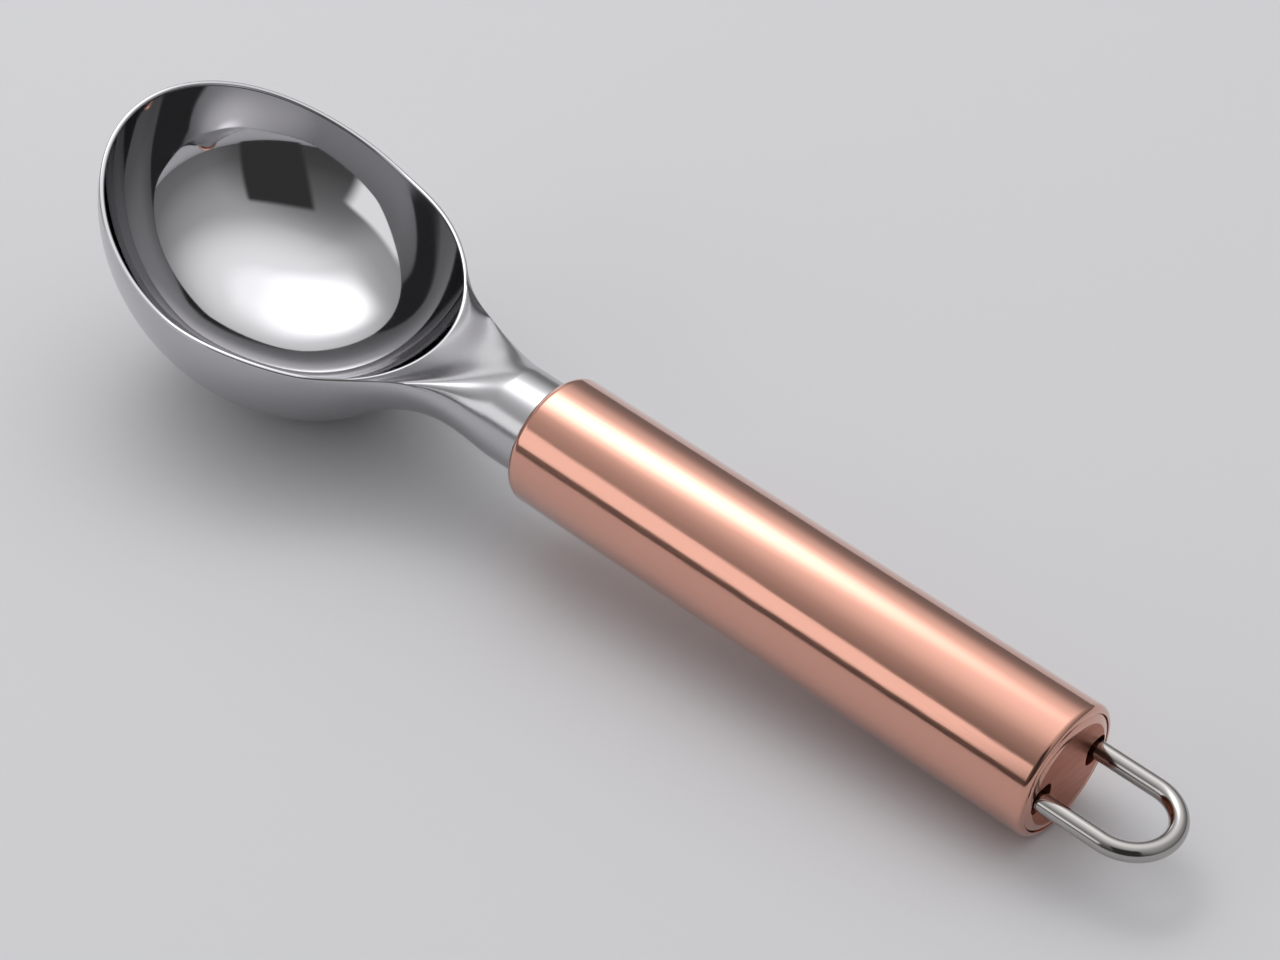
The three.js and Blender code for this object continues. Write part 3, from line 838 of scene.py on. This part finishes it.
class SCOOP_OT_loop(bpy.types.Operator):
    """Builds the bent wire hanging loop with its turned-in feet"""

    bl_idname = "scoop.loop"
    bl_label = "Hanging loop"

    def execute(self, context):
        scene = context.scene
        handle = scene.scoop_handle
        bright = grained("bright_plated_wire", scene.scoop_finishes.wire, 1.0, 0.09, 0.6, 0.001)
        wire = wire_sweep(loop_path(handle), handle.wire_diameter / 2)
        piece = build("wire_loop", [(wire, True, 0)], bright)
        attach(piece, "loop")
        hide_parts("hanging_loop")
        return {"FINISHED"}


class SCOOP_OT_inner_pieces(bpy.types.Operator):
    """Gives the pieces inside the handle their materials"""

    bl_idname = "scoop.inner_pieces"
    bl_label = "Pieces inside the handle"

    def execute(self, context):
        finishes = context.scene.scoop_finishes
        nylon = grained("moulded_nylon", finishes.nylon, 0.0, 0.5, 1.2, 0.01)
        filler = grained("moulded_filler", finishes.filler, 0.0, 0.65, 0.8, 0.02)
        steel = grained("plain_turned_steel", finishes.steel, 1.0, 0.3, 0.3, 0.004)
        rubber = grained("moulded_rubber", finishes.rubber, 0.0, 0.75, 0.5, 0.01)
        wearers = {
            "shank_seal": (rubber, "black_rubber"),
            "front_bush": (nylon, "pale_nylon"),
            "core_left": (filler, "grey_filler"),
            "core_right": (filler, "grey_filler"),
            "tang_pin": (steel, "plain_steel"),
            "loop_carrier": (nylon, "pale_nylon"),
            "carrier_screw_left": (steel, "plain_steel"),
            "carrier_screw_right": (steel, "plain_steel"),
        }
        for node, (material, slot) in wearers.items():
            piece = frame["nodes"][node]
            piece.data.materials.clear()
            piece.data.materials.append(material)
        return {"FINISHED"}


def direction(azimuth, elevation):
    """Unit vector at degrees round from +X towards +Y and degrees over the horizon."""
    turn, rise = math.radians(azimuth), math.radians(elevation)
    return Vector((math.cos(turn) * math.cos(rise), math.sin(turn) * math.cos(rise), math.sin(rise)))


def card_material(name, strength, edge):
    """Card that glows, or is all but black at a low strength, and fades out over its border.

    edge is the border's share of the card's half size.
    """
    material, tree, surface = new_material(name)
    place_on = add_node(tree, "ShaderNodeTexCoord").outputs["UV"]
    centred = add_node(tree, "ShaderNodeVectorMath", {"operation": "SUBTRACT"})
    tree.links.new(place_on, centred.inputs[0])
    centred.inputs[1].default_value = (0.5, 0.5, 0)
    out = add_node(tree, "ShaderNodeVectorMath", {"operation": "ABSOLUTE"})
    tree.links.new(centred.outputs["Vector"], out.inputs[0])
    sides = add_node(tree, "ShaderNodeSeparateXYZ", Vector=out.outputs["Vector"])
    eased = [
        add_node(
            tree, "ShaderNodeMapRange", {"interpolation_type": "SMOOTHSTEP"}, Value=sides.outputs[axis],
            From_Min=0.5 * (1 - edge), From_Max=0.5, To_Min=1.0, To_Max=0.0,
        ).outputs["Result"]
        for axis in ("X", "Y")
    ]
    cover = add_node(tree, "ShaderNodeMath", {"operation": "MULTIPLY"})
    tree.links.new(eased[0], cover.inputs[0])
    tree.links.new(eased[1], cover.inputs[1])
    glow = add_node(tree, "ShaderNodeEmission", Color=(1, 1, 1, 1), Strength=strength)
    clear = add_node(tree, "ShaderNodeBsdfTransparent")
    mixed = add_node(tree, "ShaderNodeMixShader", Fac=cover.outputs[0])
    tree.links.new(clear.outputs["BSDF"], mixed.inputs[1])
    tree.links.new(glow.outputs["Emission"], mixed.inputs[2])
    tree.links.new(mixed.outputs["Shader"], surface)
    return material


def card(name, material, towards, distance, width, height):
    """Flat card that faces the scoop from the given direction, seen in reflections but not by the camera."""
    mesh = bpy.data.meshes.new(name)
    corners = [(-0.5, -0.5), (0.5, -0.5), (0.5, 0.5), (-0.5, 0.5)]
    mesh.from_pydata([(x * width, y * height, 0) for x, y in corners], [], [(0, 1, 2, 3)])
    uv = mesh.uv_layers.new(name="card")
    uv.data.foreach_set("uv", [value + 0.5 for corner in corners for value in corner])
    mesh.materials.append(material)
    piece = bpy.data.objects.new(name, mesh)
    bpy.context.collection.objects.link(piece)
    turn = towards.to_track_quat("Z", "Y").to_matrix().to_4x4()
    piece.matrix_world = Matrix.Translation(towards * distance) @ turn
    piece.visible_camera = False
    return piece


class SCOOP_OT_stage(bpy.types.Operator):
    """Sets up the pale floor, the soft studio light and the camera"""

    bl_idname = "scoop.stage"
    bl_label = "Stage"

    def execute(self, context):
        scene = context.scene
        settings = scene.scoop_stage
        scene.view_settings.view_transform = "Standard"
        self.floor(scene)
        self.room(scene, settings.room_strength)
        key = card_material("softbox", settings.key_strength, edge=1.0)
        card("key_softbox", key, direction(122, 66), distance=1.4, width=3.2, height=2.9)
        core = card_material("softbox_core", settings.core_strength, edge=1.0)
        card("key_core", core, direction(151, 60), distance=1.2, width=1.3, height=0.74)
        side = card_material("side_card", settings.side_strength, edge=0.35)
        card("side_card", side, direction(237, 23), distance=1.2, width=1.2, height=0.62)
        low = card_material("low_card", settings.low_strength, edge=0.6)
        card("low_card", low, direction(158, 14), distance=1.2, width=1.1, height=0.6)
        dark = card_material("black_flag", strength=0.05, edge=0.2)
        flag = card("black_flag", dark, direction(312, 24), distance=1.0, width=0.86, height=1.3)
        flag.visible_diffuse = False
        self.camera(scene, settings)
        return {"FINISHED"}

    def floor(self, scene):
        """Pale matt table top under the scoop."""
        material, tree, surface = new_material("pale_table_top")
        shader = add_node(
            tree, "ShaderNodeBsdfPrincipled", Base_Color=(*scene.scoop_finishes.floor, 1), Roughness=0.7,
        )
        tree.links.new(shader.outputs["BSDF"], surface)
        mesh = bpy.data.meshes.new("table_top")
        reach = 4.0
        corners = [(-reach, -reach, 0), (reach, -reach, 0), (reach, reach, 0), (-reach, reach, 0)]
        mesh.from_pydata(corners, [], [(0, 1, 2, 3)])
        mesh.materials.append(material)
        table = bpy.data.objects.new("table_top", mesh)
        scene.collection.objects.link(table)

    def room(self, scene, strength):
        """Grey room that is lighter overhead, and darker towards the camera's side."""
        world = bpy.data.worlds.new("soft_room")
        world.use_nodes = True
        tree = world.node_tree
        tree.nodes.clear()
        towards = add_node(tree, "ShaderNodeTexCoord").outputs["Generated"]
        height = add_node(tree, "ShaderNodeSeparateXYZ", Vector=towards)
        ramp = add_node(tree, "ShaderNodeValToRGB", Fac=height.outputs["Z"])
        stops = [(0.0, 0.18), (0.2, 0.22), (0.42, 0.36), (0.62, 0.46), (0.85, 0.54), (1.0, 0.66)]
        while len(ramp.color_ramp.elements) < len(stops):
            ramp.color_ramp.elements.new(1.0)
        for element, (position, level) in zip(ramp.color_ramp.elements, stops):
            element.position = position
            element.color = (level, level, level, 1)
        facing = add_node(tree, "ShaderNodeVectorMath", {"operation": "DOT_PRODUCT"})
        tree.links.new(towards, facing.inputs[0])
        facing.inputs[1].default_value = direction(292, 10)
        shade = add_node(
            tree, "ShaderNodeMapRange", {"interpolation_type": "SMOOTHSTEP"}, Value=facing.outputs["Value"],
            From_Min=0.35, From_Max=0.95, To_Min=strength, To_Max=0.38 * strength,
        )
        light = add_node(
            tree, "ShaderNodeBackground", Color=ramp.outputs["Color"], Strength=shade.outputs["Result"],
        )
        output = add_node(tree, "ShaderNodeOutputWorld")
        tree.links.new(light.outputs["Background"], output.inputs["Surface"])
        scene.world = world

    def camera(self, scene, settings):
        """Camera at the photo's place, with the photo's lean."""
        azimuth, elevation = settings.camera_azimuth, settings.camera_elevation
        level = math.cos(elevation)
        back = Vector((math.sin(azimuth) * level, -math.cos(azimuth) * level, math.sin(elevation)))
        target = Vector(CAMERA_TARGET) * MM
        data = bpy.data.cameras.new("camera")
        data.lens = settings.camera_lens
        data.sensor_width = SENSOR_WIDTH
        camera = bpy.data.objects.new("camera", data)
        scene.collection.objects.link(camera)
        turn = back.to_track_quat("Z", "Y").to_matrix().to_4x4()
        lean = Matrix.Rotation(settings.camera_roll, 4, "Z")
        camera.matrix_world = Matrix.Translation(target + back * settings.camera_distance) @ turn @ lean
        scene.camera = camera


class SCOOP_PT_panel(bpy.types.Panel):
    """Sizes, finishes and building steps of the scoop"""

    bl_label = "Ice cream scoop"
    bl_idname = "SCOOP_PT_panel"
    bl_space_type = "VIEW_3D"
    bl_region_type = "UI"
    bl_category = "Scoop"

    def draw(self, context):
        for step in STEPS:
            self.layout.operator(step.bl_idname)
        for holder in GROUPS:
            group = getattr(context.scene, holder)
            box = self.layout.box()
            for name in group.__annotations__:
                box.prop(group, name)


STEPS = (SCOOP_OT_head, SCOOP_OT_tube, SCOOP_OT_cap, SCOOP_OT_loop, SCOOP_OT_inner_pieces, SCOOP_OT_stage)
GROUPS = {
    "scoop_head": ScoopHeadSizes,
    "scoop_handle": ScoopHandleSizes,
    "scoop_finishes": ScoopFinishes,
    "scoop_stage": ScoopStageSettings,
}
CLASSES = (*GROUPS.values(), *STEPS, SCOOP_PT_panel)


def register():
    """Registers the classes and hangs the settings on the scene."""
    for item in CLASSES:
        bpy.utils.register_class(item)
    for holder, group in GROUPS.items():
        setattr(bpy.types.Scene, holder, bpy.props.PointerProperty(type=group))


def unregister():
    """Takes the settings off the scene and unregisters the classes."""
    for holder in GROUPS:
        delattr(bpy.types.Scene, holder)
    for item in reversed(CLASSES):
        bpy.utils.unregister_class(item)


def main():
    """Builds every piece and the stage."""
    register()
    bpy.ops.scoop.head()
    bpy.ops.scoop.tube()
    bpy.ops.scoop.cap()
    bpy.ops.scoop.loop()
    bpy.ops.scoop.inner_pieces()
    bpy.ops.scoop.stage()


if __name__ == "__main__":
    main()
